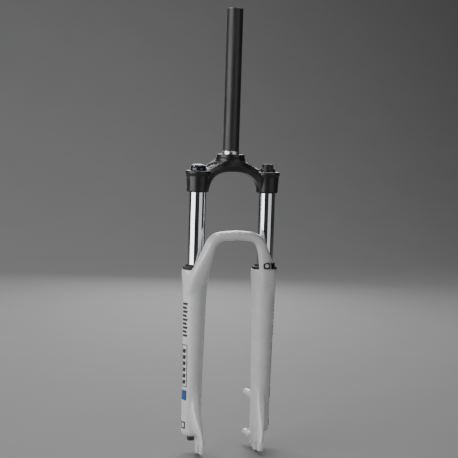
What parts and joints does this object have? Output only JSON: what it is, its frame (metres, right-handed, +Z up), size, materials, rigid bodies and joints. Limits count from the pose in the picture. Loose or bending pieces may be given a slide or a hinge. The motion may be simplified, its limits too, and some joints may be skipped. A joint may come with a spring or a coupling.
{
  "type": "bicycle suspension fork",
  "caption": "Telescopic bicycle suspension fork with a straight steerer, a bridged lower casting, open drop-outs, rear disc-brake posts, preload knob and lockout knob.",
  "frame": {"origin": "steerer axis at the crown race seat's plane, which is the crown's top face", "axes": "+Z up the steerer, -Y the fork's front, +X the rider's left (the brake side)"},
  "size_m": [0.1764, 0.0912, 0.7832],
  "materials": {
    "black_steel": "satin black",
    "black_paint": "satin black",
    "chrome": "mirror chrome",
    "black_plastic": "satin black",
    "navy_plastic": "glossy blue-black",
    "steel": "zinc plated",
    "aluminium": "machined",
    "rubber": "matt",
    "foam": "open-cell foam",
    "white_paint": "gloss white",
    "bush": "sliding layer"
  },
  "bodies": {
    "upper": {"steerer_tube": "black_steel", "crown": "black_paint", "stanchion_left": "chrome", "stanchion_right": "chrome", "preload_cap": "black_plastic", "lockout_cap": "black_plastic", "damper_cartridge": "aluminium", "cartridge_head": "aluminium", "rod_guide_left": "black_plastic", "rod_guide_right": "black_plastic", "guide_circlips": "steel", "cap_seal_rings": "rubber", "topout_spring": "steel", "main_spring": "steel"},
    "lower": {"lowers": "white_paint", "dust_seal_left": "rubber", "dust_seal_right": "rubber", "foam_ring_left": "foam", "foam_ring_right": "foam", "upper_bush_left": "bush", "upper_bush_right": "bush", "lower_bush_left": "bush", "lower_bush_right": "bush", "spring_rod": "aluminium", "spring_perch": "black_plastic", "damper_rod": "steel", "damper_piston": "aluminium", "piston_ring": "bush", "bumper_left": "rubber", "bumper_right": "rubber", "foot_bolts": "black_steel", "foot_washers": "aluminium", "hose_guide": "black_plastic", "hose_guide_screw": "steel"},
    "preload_knob": {"preload_knob": "black_plastic", "preload_screw": "steel"},
    "preload_plunger": {"preload_plunger": "black_plastic"},
    "lockout_knob": {"lockout_knob": "navy_plastic", "lockout_rod": "aluminium"}
  },
  "joints": [
    {"name": "travel", "type": "slide", "parent": "upper", "child": "lower", "axis": [0, 0, 1], "range_m": [0, 0.1], "stiffness_N_per_m": 7000, "deforming": ["main_spring"]},
    {"name": "preload_turn", "type": "hinge", "parent": "upper", "child": "preload_knob", "pos_m": [0.064, -0.0173, -0.0236], "axis": [0, 0, 1], "range_deg": [-1080, 0]},
    {"name": "preload_slide", "type": "slide", "parent": "upper", "child": "preload_plunger", "axis": [0, 0, -1], "range_m": [0, 0.006]},
    {"name": "lockout_turn", "type": "hinge", "parent": "upper", "child": "lockout_knob", "pos_m": [-0.064, -0.0173, -0.0236], "axis": [0, 0, 1], "range_deg": [-90, 0]}
  ],
  "couplings": [
    {"joint": "preload_slide", "follows": "preload_turn", "m_per_rad": -0.00031831}
  ]
}
